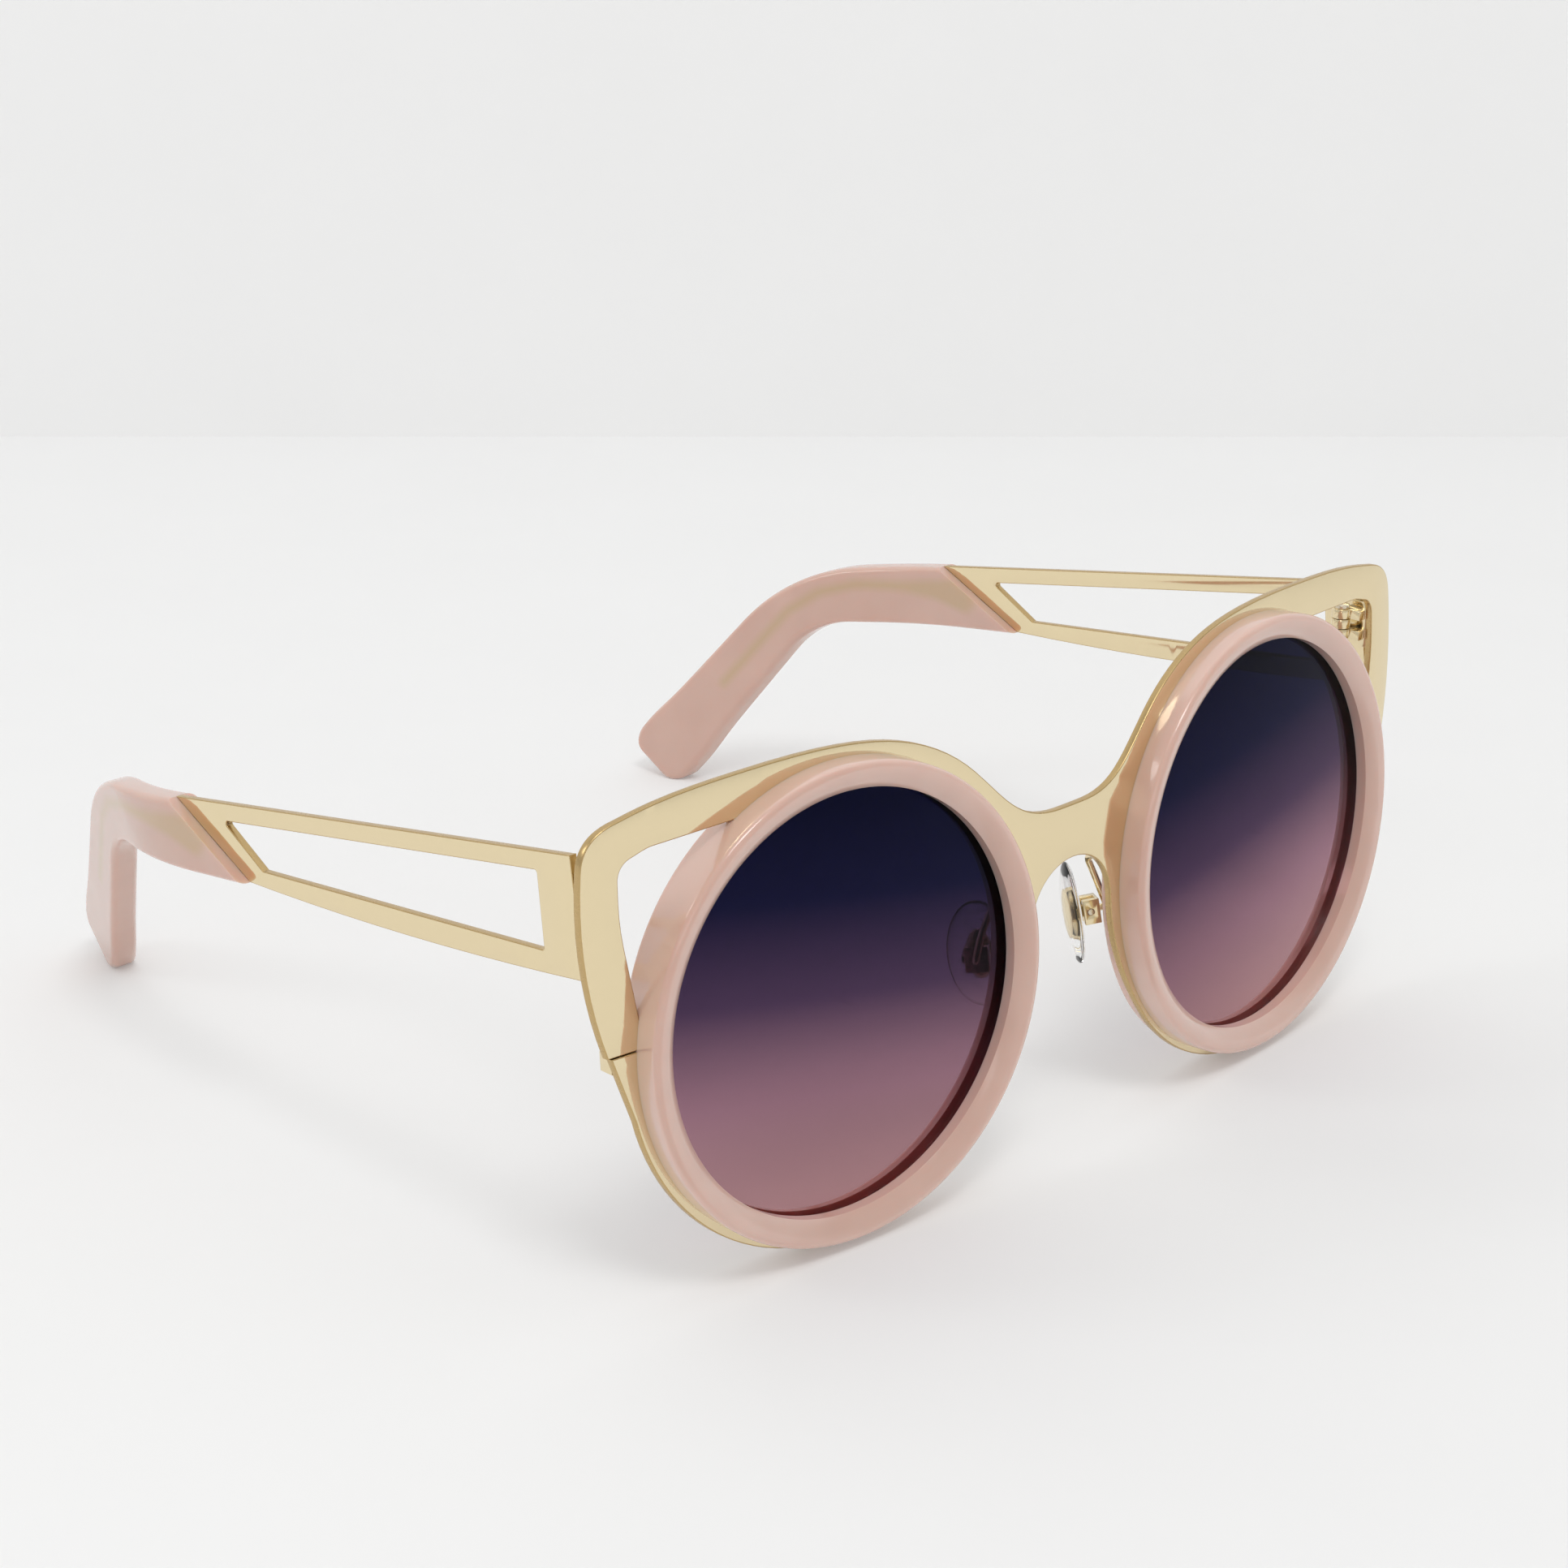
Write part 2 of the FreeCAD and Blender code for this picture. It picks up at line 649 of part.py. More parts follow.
def make_nose_pad(insert):
    """A clear oval pad, domed on the nose side and flatter on the back."""
    oval = doc.addObject("Part::Ellipsoid", "pad_oval")
    oval.Angle1, oval.Angle2, oval.Angle3 = -90, 90, 360
    oval.setExpression("Radius3", "dims.pad_tall / 2")
    oval.setExpression("Radius2", "dims.pad_wide / 2")
    oval.setExpression("Radius1", "dims.pad_thickness * 0.6")
    oval.Placement = PAD.multiply(Placement(Vector(0, 0, 0), Rotation(Vector(1, 0, 0), -90)))
    back = box("pad_back_cut", PAD, (-8, -4.75, -10), (16, 4, 20))
    flat = boolean("Cut", "pad_flat", oval, back)
    return node(boolean("Cut", "pad_moulded", flat, insert), "left_nose_pad")


def make_pad_box():
    """A box with a slot for the insert's eye and a bore for the pad's screw."""
    block = box("pad_box_block", PAD, (-BOX_WIDE / 2, BOX_BACK, -BOX_TALL / 2),
                (BOX_WIDE, BOX_FRONT - BOX_BACK, BOX_TALL))
    slot = box("pad_box_slot", PAD, (-TAB_WIDE / 2 - 0.08, BOX_BACK + 0.35, -4),
               (TAB_WIDE + 0.16, 6, 8))
    bore = cylinder("pad_box_bore", PAD, (-3, PAD_PIVOT, 0), (1, 0, 0), "dims.pad_bore", 6)
    cut = boolean("Cut", "pad_box_cut", block, union("pad_box_tools", [slot, bore]))
    return node(cut, "left_pad_box")


def make_pad_arm(plate, pad_box):
    """A round wire from the plate's back, looping back and down to the pad's box."""
    back = PAD.multVec(Vector(0, BOX_BACK + 0.2, 0))
    away = PAD.Rotation.multVec(Vector(0, -1, 0))
    setback = dim("setback")
    points = [Vector(8.3, 0.7 - setback, 34.9), Vector(8.3, 4.9 - setback, 34.9),
              Vector(11.3, 5.0 - setback, 29.6), back + away * 1.4, back]
    spine = shape_node("pad_arm_spine", rounded_path(points, 0.42))
    section = doc.addObject("Part::Circle", "pad_arm_section")
    section.setExpression("Radius", "dims.arm_radius")
    section.Placement = Placement(points[0], Rotation(Vector(0, 0, 1), Vector(0, 1, 0)))
    sweep = doc.addObject("Part::Sweep", "pad_arm_sweep")
    sweep.Sections = [section]
    sweep.Spine = (spine, ["Edge%d" % (n + 1) for n in range(len(spine.Shape.Edges))])
    sweep.Solid = True
    sweep.Frenet = False
    doc.recompute()
    seat = union("pad_arm_seat", [plate, pad_box])
    return node(boolean("Cut", "pad_arm_seated", sweep, seat), "left_pad_arm")


def make_pad_screw():
    frame = standing(PAD, (-BOX_WIDE / 2, PAD_PIVOT, 0), (1, 0, 0))
    return screw("pad_screw_body", frame, dim("pad_shank"), BOX_WIDE, 0.75, 0.4,
                 "left_pad_screw")


def rounded_path(points, share):
    """Straight runs joined by tangent arcs, each taking a share of its shorter run."""
    edges = []
    here = points[0]
    for before, corner, after in zip(points, points[1:], points[2:]):
        reach = share * min((before - corner).Length, (after - corner).Length)
        back = (before - corner).normalize()
        onward = (after - corner).normalize()
        half = back.getAngle(onward) / 2
        radius = reach * math.tan(half)
        middle = corner + (back + onward).normalize() * (radius / math.sin(half) - radius)
        start, end = corner + back * reach, corner + onward * reach
        edges.append(Part.LineSegment(here, start).toShape())
        edges.append(Part.Arc(start, middle, end).toShape())
        here = end
    edges.append(Part.LineSegment(here, points[-1]).toShape())
    return Part.Wire(edges)


def mirror_to_right():
    """The wearer's right side is the left side seen in the middle plane."""
    for part in list(NODES):
        if not part.Label.startswith("left_"):
            continue
        label = part.Label.replace("left_", "right_", 1)
        twin = doc.addObject("Part::Mirroring", label)
        twin.Source = part
        twin.Normal = Vector(1, 0, 0)
        twin.Base = Vector(0, 0, 0)
        node(twin, label)
    doc.recompute()


def main():
    plate = make_front_plate()
    make_rim_ring()
    make_lens()
    strip, wire = make_core_wire(make_temple_plate())
    make_temple_tip(strip)
    make_front_hinge_leaf(plate)
    make_temple_hinge_leaf()
    make_hinge_screw()
    make_rim_lock(plate)
    insert = make_pad_insert()
    make_nose_pad(insert)
    make_pad_arm(plate, make_pad_box())
    make_pad_screw()
    mirror_to_right()
    finish()


def finish():
    """Check every object and every sub-part, then write each sub-part."""
    doc.recompute()
    for thing in doc.Objects:
        if "Invalid" in thing.State or "Error" in thing.State:
            raise RuntimeError("%s failed: %s" % (thing.Name, thing.State))
    for part in NODES:
        if part.Shape.isNull() or not part.Shape.isValid():
            raise RuntimeError("%s has no valid shape" % part.Label)
    os.makedirs("parts", exist_ok=True)
    for part in NODES:
        part.Shape.exportStep("parts/%s.step" % part.Label)


main()
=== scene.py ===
"""Looks for the cat eye sunglasses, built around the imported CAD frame."""
import json
import math

import bmesh
import bpy
from mathutils import Matrix, Vector
from mathutils.geometry import delaunay_2d_cdt

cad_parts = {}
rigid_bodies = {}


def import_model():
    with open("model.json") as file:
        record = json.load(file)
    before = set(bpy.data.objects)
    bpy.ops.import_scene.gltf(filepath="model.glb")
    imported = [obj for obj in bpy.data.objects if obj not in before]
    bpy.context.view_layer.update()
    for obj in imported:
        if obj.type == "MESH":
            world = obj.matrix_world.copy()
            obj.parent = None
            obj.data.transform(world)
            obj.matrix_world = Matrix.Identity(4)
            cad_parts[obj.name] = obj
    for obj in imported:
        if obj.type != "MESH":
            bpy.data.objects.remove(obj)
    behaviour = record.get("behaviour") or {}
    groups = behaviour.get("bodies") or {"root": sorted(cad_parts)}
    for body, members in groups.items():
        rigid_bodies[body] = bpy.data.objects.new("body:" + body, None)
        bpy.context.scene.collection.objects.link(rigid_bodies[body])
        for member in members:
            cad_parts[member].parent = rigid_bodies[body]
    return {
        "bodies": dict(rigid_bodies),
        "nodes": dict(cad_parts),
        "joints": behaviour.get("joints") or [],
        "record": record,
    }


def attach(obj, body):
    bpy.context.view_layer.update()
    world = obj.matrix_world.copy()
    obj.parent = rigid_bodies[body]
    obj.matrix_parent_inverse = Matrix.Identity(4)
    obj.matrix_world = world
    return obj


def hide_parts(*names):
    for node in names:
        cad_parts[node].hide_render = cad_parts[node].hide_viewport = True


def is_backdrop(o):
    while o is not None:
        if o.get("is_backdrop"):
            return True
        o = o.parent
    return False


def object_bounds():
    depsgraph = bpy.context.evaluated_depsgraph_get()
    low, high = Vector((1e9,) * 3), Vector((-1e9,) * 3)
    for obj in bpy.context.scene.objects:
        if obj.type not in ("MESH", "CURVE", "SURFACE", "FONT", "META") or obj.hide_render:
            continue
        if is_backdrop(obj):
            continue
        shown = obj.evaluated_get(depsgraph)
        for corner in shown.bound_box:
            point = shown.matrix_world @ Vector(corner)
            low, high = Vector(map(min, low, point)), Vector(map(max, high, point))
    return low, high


MM = 0.001

# The CAD's own frames, in millimetres and degrees
SETBACK = 66.4
HOOP_HEIGHT = 30.34
HALF_SPACING = 38.62
WRAP = 5.03
LEAN = 3.15
TEMPLE_HALF = 72.3
TEMPLE_START = 7.5
TEMPLE_TOE = 0.71

# Rim rings: radii, and depths behind the front edge of the lens opening
OPENING = 26.0
RING_WALL = 29.35
RING_CREST = 1.1
RING_DEPTH = 5.4
RING_SEGMENTS = 256
LENS_GROOVE, GROOVE_FRONT, GROOVE_BACK = 27.1, 1.65, 3.85

# Lenses
LENS_RADIUS = 27.0
LENS_CURVE = 260.0
LENS_RECESS = 0.35
LENS_THICKNESS = 2.0
LENS_HUB = 0.02
LENS_SEGMENTS = 192

# Gold sheets
SHEET_THICKNESS = 1.0
PLATE_DEPTH = 2.4
BRIDGE_HALF = 8.5
END_START = 66.5
END_SWEEP = 90.0
PLATE_SOFT, PLATE_GRID = 0.14, 2.4
BARS_SOFT, BARS_GRID = 0.12, 3.0
EDGE_STEPS = 3
LONGEST_EDGE = 1.2

# Temple tips: the outline in the temple's frame is (distance back, height)
REAR_TOP, REAR_FOOT = (79.3, 41.5), (64.1, 34.3)
DROP_TOP, DROP_FOOT = (105.9, 36.6), (101.0, 29.2)
END_BACK, END_FRONT = (130.3, 5.0), (121.7, -1.33)
DROP_RADIUS_BACK, DROP_RADIUS_FRONT = 30.0, 15.0
TIP_HALF = 2.0
TIP_SOFT = 1.1
TIP_STATIONS = 90
END_SOFT = 3.0
END_STEPS = 12
CORNER_STEPS = 6
FACE_STEPS = 24
FLARE, FLARE_PLACE, FLARE_SPREAD = 0.35, 6.0, 4.5
FLARE_RISE = 3.0
BEND_TILT, BEND_TURN = 30, 18
BEND_START, BEND_RADIUS = 47.8, 50.0

# Middle line of the core wire inside a tip, with its half width at each point
WIRE_LINE = [((74.0, 38.3), 2.7), ((79.5, 38.0), 1.5), ((86.0, 37.3), 0.8), ((94.0, 36.3), 0.7),
             ((100.0, 34.2), 0.7), ((105.0, 30.4), 0.7), ((114.6, 17.3), 0.7)]
WIRE_BLUR = 1.3

# Nose pads: half sizes, with a flatter back
PAD_WIDE, PAD_DOME, PAD_BACK, PAD_TALL = 4.1, 1.14, 0.75, 6.7
PAD_ROWS, PAD_COLUMNS = 48, 64
PAD_POLE = 0.02

# How fast the tint's level lines rise towards the temples, in lens heights per metre
LENS_TILT = 3.0

# Widths of the CAD pieces' softened edges
PLAIN_BEVEL = 0.06
BEVELS = {"core_wire": 0.2}

# Camera and stage, square to each other
CAMERA_PLACE = (-291.23, -311.38, 189.98)
CAMERA_AZIMUTH = -44.60
CAMERA_ELEVATION = 20.60
CAMERA_LENS = 76.39
WALL_DISTANCE = 0.301
FLOOR_REACH = 1.6
STAGE_HALF = 2.2


def turn(degrees, axis):
    return Matrix.Rotation(math.radians(degrees), 4, axis)


def shift(x, y, z):
    return Matrix.Translation(Vector((x, y, z)))


FRONT = shift(0, -SETBACK, HOOP_HEIGHT) @ turn(-LEAN, "X")
RIM = FRONT @ shift(HALF_SPACING, 0, 0) @ turn(WRAP, "Z")
TEMPLE = shift(TEMPLE_HALF, TEMPLE_START - SETBACK, 0) @ turn(TEMPLE_TOE, "Z")
PAD = shift(9.0, 7.2 - SETBACK, 25.8) @ turn(55, "Z") @ turn(-8, "X") @ turn(8, "Y")


# ---- meshes ---------------------------------------------------------------------------------

def make_mesh(name, points, faces):
    """A mesh object from points in millimetres, smooth but for its sharp edges."""
    mesh = bpy.data.meshes.new(name)
    mesh.from_pydata([tuple(c * MM for c in p) for p in points], [], faces)
    mesh.validate()
    mesh.shade_smooth()
    mesh.set_sharp_from_angle(angle=math.radians(35))
    thing = bpy.data.objects.new(name, mesh)
    bpy.context.scene.collection.objects.link(thing)
    return thing


def on_side(points, faces, side):
    """The left-hand piece as it is, or its mirror image for the right."""
    if side == "left":
        return points, faces
    return [(-x, y, z) for x, y, z in points], [tuple(reversed(f)) for f in faces]


def arc_through(a, b, c, count):
    """Points along the circular arc from a through b to c."""
    ax, ay = a
    bx, by = b
    cx, cy = c
    double = 2 * (ax * (by - cy) + bx * (cy - ay) + cx * (ay - by))
    sa, sb, sc = ax * ax + ay * ay, bx * bx + by * by, cx * cx + cy * cy
    ux = (sa * (by - cy) + sb * (cy - ay) + sc * (ay - by)) / double
    uy = (sa * (cx - bx) + sb * (ax - cx) + sc * (bx - ax)) / double
    radius = math.hypot(ax - ux, ay - uy)
    first = math.atan2(ay - uy, ax - ux)
    middle = math.atan2(by - uy, bx - ux)
    last = math.atan2(cy - uy, cx - ux)
    full = 2 * math.pi
    if (middle - first) % full < (last - first) % full:
        sweep = (last - first) % full
    else:
        sweep = -((first - last) % full)
    angles = [first + sweep * i / count for i in range(count + 1)]
    return [(ux + radius * math.cos(t), uy + radius * math.sin(t)) for t in angles]


def lathe(outline, placement, segments):
    """Turn a closed outline of (radius, depth) about the placement's Y axis."""
    points, faces = [], []
    count = len(outline)
    for step in range(segments):
        angle = 2 * math.pi * step / segments
        for radius, depth in outline:
            place = Vector((radius * math.cos(angle), depth, radius * math.sin(angle)))
            points.append(tuple(placement @ place))
    for step in range(segments):
        following = (step + 1) % segments
        for index in range(count):
            other = (index + 1) % count
            faces.append((step * count + index, step * count + other,
                          following * count + other, following * count + index))
    return points, faces


def ring_outline():
    """Section of a rim ring: a plain outer wall, a lens groove and a softly domed front."""
    front = arc_through((RING_WALL - 0.8, -RING_CREST), (OPENING + 1.15, 0.4 - RING_CREST),
                        (OPENING, 0.2), 14)
    outer = arc_through((RING_WALL, 0.8 - RING_CREST), (RING_WALL - 0.234, 0.234 - RING_CREST),
                        (RING_WALL - 0.8, -RING_CREST), 8)
    back = arc_through((RING_WALL - 0.65, RING_DEPTH), (RING_WALL - 0.19, RING_DEPTH - 0.19),
                       (RING_WALL, RING_DEPTH - 0.65), 8)
    inner_back = arc_through((OPENING, RING_DEPTH - 0.95), (OPENING + 0.25, RING_DEPTH - 0.3),
                             (OPENING + 0.9, RING_DEPTH), 8)
    groove = [(OPENING, GROOVE_FRONT), (LENS_GROOVE, GROOVE_FRONT),
              (LENS_GROOVE, GROOVE_BACK), (OPENING, GROOVE_BACK)]
    return front + groove + inner_back + back + outer[:-1]


def lens_outline():
    """Half section of a lens: two gently curved faces and a narrow edge."""
    def sag(radius):
        return LENS_CURVE - math.sqrt(LENS_CURVE * LENS_CURVE - radius * radius)

    steps = [LENS_HUB + (LENS_RADIUS - LENS_HUB) * i / 10 for i in range(11)]
    back = LENS_RECESS + LENS_THICKNESS
    face = [(r, LENS_RECESS + sag(r)) for r in steps]
    return face + [(r, back + sag(r)) for r in reversed(steps)]


# ---- temple tips ----------------------------------------------------------------------------

def rounded_run(start, corner, end, radius):
    """Points from start to end with the corner between them rounded."""
    a, b, c = Vector(start), Vector(corner), Vector(end)
    back, onward = (a - b).normalized(), (c - b).normalized()
    half = back.angle(onward) / 2
    reach = radius / math.tan(half)
    centre = b + (back + onward).normalized() * (radius / math.sin(half))
    touch_in, touch_out = b + back * reach, b + onward * reach
    spin_from, spin_to = touch_in - centre, touch_out - centre
    sweep = spin_from.angle_signed(spin_to)
    track = [touch_in.lerp(a, 1 - i / 30) for i in range(30)]
    track += [centre + Matrix.Rotation(-sweep * i / 30, 2) @ spin_from for i in range(31)]
    track += [touch_out.lerp(c, i / 40) for i in range(1, 41)]
    return track


def resample(track, marks):
    """Points of a track at shares of its length."""
    lengths = [0.0]
    for p, q in zip(track, track[1:]):
        lengths.append(lengths[-1] + (q - p).length)
    points = []
    index = 0
    for mark in marks:
        want = mark * lengths[-1]
        while index < len(track) - 2 and lengths[index + 1] < want:
            index += 1
        span = lengths[index + 1] - lengths[index]
        points.append(track[index].lerp(track[index + 1], (want - lengths[index]) / span))
    return points


def tip_bend(place, lift):
    """Where a point of the flat tip lies once the tip is bent inward."""
    back, height = place
    tilt, most = math.radians(BEND_TILT), math.radians(BEND_TURN)
    reach = back * math.cos(tilt) - height * math.sin(tilt) - BEND_START
    angle = 0.0
    if reach > 0:
        angle = math.asin(min(reach / BEND_RADIUS, math.sin(most)))
    beyond = max(0.0, reach - BEND_RADIUS * math.sin(most))
    inward = BEND_RADIUS * (1 - math.cos(angle)) + beyond * math.tan(most)
    outward = lift / math.cos(angle) - SHEET_THICKNESS / 2 - inward
    return TEMPLE @ Vector((outward, back, height))


def wire_cover(place):
    """How much of the wire shows through the tip at a place: 1 over it, 0 clear of it."""
    most = 0.0
    for (first, wide), (last, narrow) in zip(WIRE_LINE, WIRE_LINE[1:]):
        start, run = Vector(first), Vector(last) - Vector(first)
        share = min(1.0, max(0.0, (place - start).dot(run) / run.length_squared))
        aside = (place - start - run * share).length - (wide + (narrow - wide) * share)
        most = max(most, 1.0 - min(1.0, max(0.0, aside / WIRE_BLUR + 0.5)))
    return most


def tip_sections():
    """Both edges of each section, from the temple plate to the cut end, with how far the
    section is drawn in at its edges and how much it is thinned."""
    shares = [i / TIP_STATIONS for i in range(TIP_STATIONS + 1)]
    tops = resample(rounded_run(REAR_TOP, DROP_TOP, END_BACK, DROP_RADIUS_BACK), shares)
    feet = resample(rounded_run(REAR_FOOT, DROP_FOOT, END_FRONT, DROP_RADIUS_FRONT), shares)
    last_top, last_foot = tops[-1], feet[-1]
    clear = END_SOFT + (last_top - tops[-2]).length
    sections = [(top, foot, 0.0, 0.0) for top, foot in zip(tops[:-1], feet[:-1])
                if (last_top - top).length > clear]
    side_top = (sections[-1][0] - last_top).normalized()
    side_foot = (sections[-1][1] - last_foot).normalized()
    for step in range(END_STEPS + 1):
        angle = math.pi / 2 * step / END_STEPS
        away = END_SOFT * (1 - math.sin(angle))
        narrow = END_SOFT * (1 - math.cos(angle))
        thin = 0.0
        if away < TIP_SOFT:
            thin = TIP_SOFT - math.sqrt(max(0.0, TIP_SOFT ** 2 - (TIP_SOFT - away) ** 2))
        sections.append((last_top + side_top * away, last_foot + side_foot * away, narrow, thin))
    return sections


def flat_face(start, end):
    """Points between two corners of a section, all at the same lift."""
    places = [start[0].lerp(end[0], i / FACE_STEPS) for i in range(1, FACE_STEPS)]
    return [(place, start[1]) for place in places]


def section_loop(high, low, half):
    """One section's outline: four soft corners, with the two flat faces between them."""
    across = (high - low).normalized()
    soft = min(TIP_SOFT, half)
    corners = []
    for edge, side, lift_side, first in ((high, 1, 1, 90), (high, 1, -1, 0),
                                         (low, -1, -1, -90), (low, -1, 1, -180)):
        corner = []
        for step in range(CORNER_STEPS + 1):
            angle = math.radians(first - 90 * step / CORNER_STEPS)
            out = soft * math.cos(angle) - side * soft
            lift = soft * math.sin(angle) + lift_side * (half - soft)
            corner.append((edge + across * out, lift))
        corners.append(corner)
    one, two, three, four = corners
    return (one + two + flat_face(two[-1], three[0])
            + three + four + flat_face(four[-1], one[0]))


def tip_shape():
    """The tip's points and faces, with how much of the wire shows at each point."""
    sections = tip_sections()
    last_high, last_low = sections[-1][:2]
    points, faces, cover = [], [], []
    for high, low, narrow, thin in sections:
        across = (high - low).normalized()
        from_end = ((high - last_high) + (low - last_low)).length / 2
        swell = math.exp(-((from_end - FLARE_PLACE) / FLARE_SPREAD) ** 2)
        narrow -= FLARE * min(1.0, from_end / FLARE_RISE) * swell
        loop = section_loop(high - across * narrow, low + across * narrow, TIP_HALF - thin)
        cover += [wire_cover(place) for place, lift in loop]
        points += [tuple(tip_bend(place, lift)) for place, lift in loop]
    size = len(loop)
    for row in range(len(sections) - 1):
        for index in range(size):
            other = (index + 1) % size
            faces.append((row * size + index, row * size + other,
                          (row + 1) * size + other, (row + 1) * size + index))
    faces.append(tuple(reversed(range(size))))
    last = (len(sections) - 1) * size
    faces.append(tuple(range(last, last + size)))
    return points, [tuple(reversed(f)) for f in faces], cover


# ---- sheet metal ----------------------------------------------------------------------------

def front_depth(across):
    """Depth of the plate's front face behind the rims' own plane, seen from above."""
    slope = math.radians(WRAP)
    half = abs(across)

    def flat(place):
        return (place - HALF_SPACING) * math.tan(slope) + PLATE_DEPTH / math.cos(slope)

    if half < BRIDGE_HALF:
        arch = BRIDGE_HALF / math.sin(slope)
        lowest = flat(BRIDGE_HALF) - arch * (1 - math.cos(slope))
        return lowest + arch - math.sqrt(arch * arch - half * half)
    if half > END_START:
        centre = END_START - math.sin(slope) * END_SWEEP
        rise = math.cos(slope) * END_SWEEP
        return flat(END_START) + rise - math.sqrt(END_SWEEP ** 2 - (half - centre) ** 2)
    return flat(half)


def level_depth(across):
    """Depth of a sheet that is flat all over."""
    return 0.0


def sheet_loops(node, to_local):
    """Outlines of a CAD sheet's front face, as loops of 2D points in the sheet's frame."""
    mesh = bmesh.new()
    mesh.from_mesh(node.data)
    bmesh.ops.remove_doubles(mesh, verts=mesh.verts, dist=0.000005)
    spin = to_local.to_3x3()
    front = {f for f in mesh.faces if (spin @ f.normal).y < -0.5}
    links = {}
    for edge in mesh.edges:
        inside = [f for f in edge.link_faces if f in front]
        if len(inside) == 1 and len(edge.link_faces) == 2:
            a, b = edge.verts
            links.setdefault(a, []).append(b)
            links.setdefault(b, []).append(a)
    loops = []
    while links:
        start = next(iter(links))
        loop, here = [start], start
        while True:
            following = links[here].pop()
            links[following].remove(here)
            if not links[here]:
                del links[here]
            if following == start:
                break
            loop.append(following)
            here = following
        if start in links and not links[start]:
            del links[start]
        places = [to_local @ (v.co / MM) for v in loop]
        loops.append([Vector((p.x, p.z)) for p in places])
    mesh.free()
    return loops


def area_of(loop):
    """Area inside a loop, negative where it runs clockwise."""
    return sum(p.x * q.y - q.x * p.y for p, q in zip(loop, loop[1:] + loop[:1])) / 2


def densify(loop, longest):
    """Split a loop's long edges."""
    points = []
    for a, b in zip(loop, loop[1:] + loop[:1]):
        count = max(1, math.ceil((b - a).length / longest))
        points += [a.lerp(b, i / count) for i in range(count)]
    return points


def inset(loop, distance):
    """Move a loop into its material by a mitred distance."""
    moved = []
    for before, here, after in zip([loop[-1]] + loop[:-1], loop, loop[1:] + loop[:1]):
        first = (here - before).normalized()
        second = (after - here).normalized()
        normal = Vector((-first.y - second.y, first.x + second.x)).normalized()
        stretch = max(0.5, normal.dot(Vector((-first.y, first.x))))
        moved.append(here + normal * (distance / stretch))
    return moved


def inside_loops(place, loops):
    """Even-odd test of a point against all the loops."""
    inside = False
    for loop in loops:
        for a, b in zip(loop, loop[1:] + loop[:1]):
            if (a.y > place.y) != (b.y > place.y):
                cross = a.x + (place.y - a.y) * (b.x - a.x) / (b.y - a.y)
                if cross > place.x:
                    inside = not inside
    return inside


def facing_loops(node, frame):
    """The sheet's outlines, largest first: it runs one way, and its openings the other."""
    raw = sorted(sheet_loops(node, frame.inverted()), key=lambda l: -abs(area_of(l)))
    loops = []
    for index, loop in enumerate(raw):
        if (area_of(loop) > 0) != (index == 0):
            loop = list(reversed(loop))
        loops.append(densify(loop, LONGEST_EDGE))
    return loops


def edge_rows(soft):
    """Rows of a sheet's soft edge, front to back: distance in from the outline, and depth."""
    rows = []
    for step in range(EDGE_STEPS + 1):
        angle = math.pi / 2 * step / EDGE_STEPS
        rows.append((soft * (1 - math.sin(angle)), soft * (1 - math.cos(angle))))
    return rows + [(aside, SHEET_THICKNESS - deep) for aside, deep in reversed(rows)]


def inner_places(rim, face_loops, grid):
    """Even grid points inside the outlines and clear of their edges."""
    low = Vector((min(p.x for p in rim), min(p.y for p in rim)))
    high = Vector((max(p.x for p in rim), max(p.y for p in rim)))
    places = []
    for i in range(1, int((high.x - low.x) / grid)):
        for j in range(1, int((high.y - low.y) / grid)):
            place = low + Vector((i, j)) * grid
            if inside_loops(place, face_loops):
                if min((place - p).length for p in rim) > 0.45 * grid:
                    places.append(place)
    return places


def face_mesh(face_loops, grid):
    """Points and triangles of a sheet's face, and where each outline point went."""
    flat, edges = [], []
    for loop in face_loops:
        first = len(flat)
        flat += loop
        edges += [(first + i, first + (i + 1) % len(loop)) for i in range(len(loop))]
    out = delaunay_2d_cdt(flat + inner_places(flat, face_loops, grid), edges, [], 0, 1e-7)
    places, triangles, sources = out[0], out[2], out[3]
    keep = []
    for triangle in triangles:
        middle = sum((places[i] for i in triangle), Vector((0, 0))) / 3
        if inside_loops(middle, face_loops):
            keep.append(triangle)
    rim_of = {origin: index for index, origins in enumerate(sources) for origin in origins}
    return places, keep, rim_of


def soft_sheet(node, frame, depth, soft, grid):
    """A sheet with the CAD's own outline, an even surface mesh and softly broken edges.
    The last value returned is the number of its first cut-edge face."""
    loops = facing_loops(node, frame)
    places, keep, rim_of = face_mesh([inset(loop, soft) for loop in loops], grid)

    def lifted(place, deep):
        return tuple(frame @ Vector((place.x, depth(place.x) + deep, place.y)))

    total = len(places)
    points = [lifted(p, 0.0) for p in places] + [lifted(p, SHEET_THICKNESS) for p in places]
    faces = [tuple(t) for t in keep]
    faces += [tuple(i + total for i in reversed(t)) for t in keep]
    rows = edge_rows(soft)
    first_rim = 0
    for loop in loops:
        size = len(loop)
        front_rim = [rim_of[first_rim + i] for i in range(size)]
        rings = [front_rim]
        for aside, deep in rows[1:-1]:
            rings.append([len(points) + i for i in range(size)])
            points += [lifted(p, deep) for p in inset(loop, aside)]
        rings.append([i + total for i in front_rim])
        for upper, lower in zip(rings, rings[1:]):
            for i in range(size):
                j = (i + 1) % size
                faces.append((upper[j], upper[i], lower[i], lower[j]))
        first_rim += size
    return points, faces, 2 * len(keep)


# ---- nose pad -------------------------------------------------------------------------------

